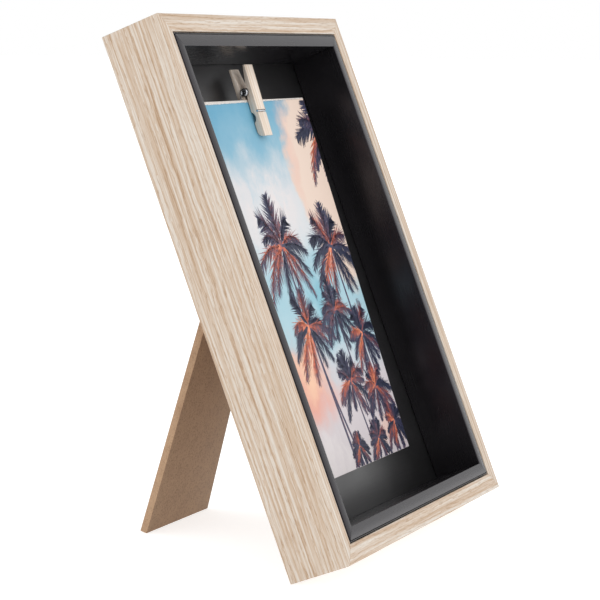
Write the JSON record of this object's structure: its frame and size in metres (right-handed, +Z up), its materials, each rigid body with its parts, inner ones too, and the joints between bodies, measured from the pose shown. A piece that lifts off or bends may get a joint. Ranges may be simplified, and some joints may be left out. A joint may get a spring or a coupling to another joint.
{
  "type": "table-top shadow-box print frame",
  "caption": "Deep mitred oak table frame round a black display box, where a small sprung wooden peg holds a print; stands on a folding easel leg.",
  "frame": {"origin": "middle of the footprint on the table, under the standing frame (bottom centre of the bounding box)", "axes": "+Z up, -Y the way the picture faces, +X to the picture's right; the frame leans back towards +Y on its leg"},
  "size_m": [0.1626, 0.1124, 0.2036],
  "materials": {
    "oak_finish": "matt open-pored oak with straight grain",
    "black_lacquer": "satin black lacquer on fibreboard",
    "black_card": "satin black card",
    "raw_board": "raw fibreboard, fine speckle",
    "steel": "bright zinc-plated steel",
    "birch": "raw planed birch",
    "foam": "matt black foam",
    "printed_card": "satin printed card"
  },
  "bodies": {
    "frame": {"oak_rail_bottom": "oak_finish", "oak_rail_top": "oak_finish", "oak_stile_left": "oak_finish", "oak_stile_right": "oak_finish", "liner_bottom": "black_lacquer", "liner_top": "black_lacquer", "liner_left": "black_lacquer", "liner_right": "black_lacquer", "back_panel": "black_card", "backing_board": "raw_board", "back_tab_bottom_1": "steel", "back_tab_bottom_2": "steel", "back_tab_top_1": "steel", "back_tab_top_2": "steel", "back_tab_left_1": "steel", "back_tab_left_2": "steel", "back_tab_right_1": "steel", "back_tab_right_2": "steel", "corner_nail_bottom_left": "steel", "corner_nail_bottom_right": "steel", "corner_nail_top_left": "steel", "corner_nail_top_right": "steel", "hinge_board_leaf": "steel", "hinge_pin": "steel", "board_rivet_left": "steel", "board_rivet_right": "steel", "peg_rear_arm": "birch", "peg_spring": "steel", "peg_pad": "foam"},
    "easel_leg": {"easel_leg": "raw_board", "hinge_leg_leaf": "steel", "leg_rivet_left": "steel", "leg_rivet_right": "steel"},
    "peg_arm": {"peg_front_arm": "birch", "peg_spring_tail": "steel"},
    "print": {"photo_print": "printed_card"}
  },
  "joints": [
    {"name": "leg_fold", "type": "hinge", "parent": "frame", "child": "easel_leg", "pos_m": [0, 0.02187, 0.13014], "axis": [-1, 0, 0], "range_deg": [0, 37]},
    {"name": "peg_squeeze", "type": "hinge", "parent": "frame", "child": "peg_arm", "pos_m": [0, 0.02253, 0.17378], "axis": [-1, 0, 0], "range_deg": [0, 26], "stiffness_Nm_per_rad": 0.01, "springref_deg": -34.38},
    {"name": "print_slide", "type": "slide", "parent": "frame", "child": "print", "axis": [0, -0.3256, -0.9455], "range_m": [0, 0.0152]}
  ]
}
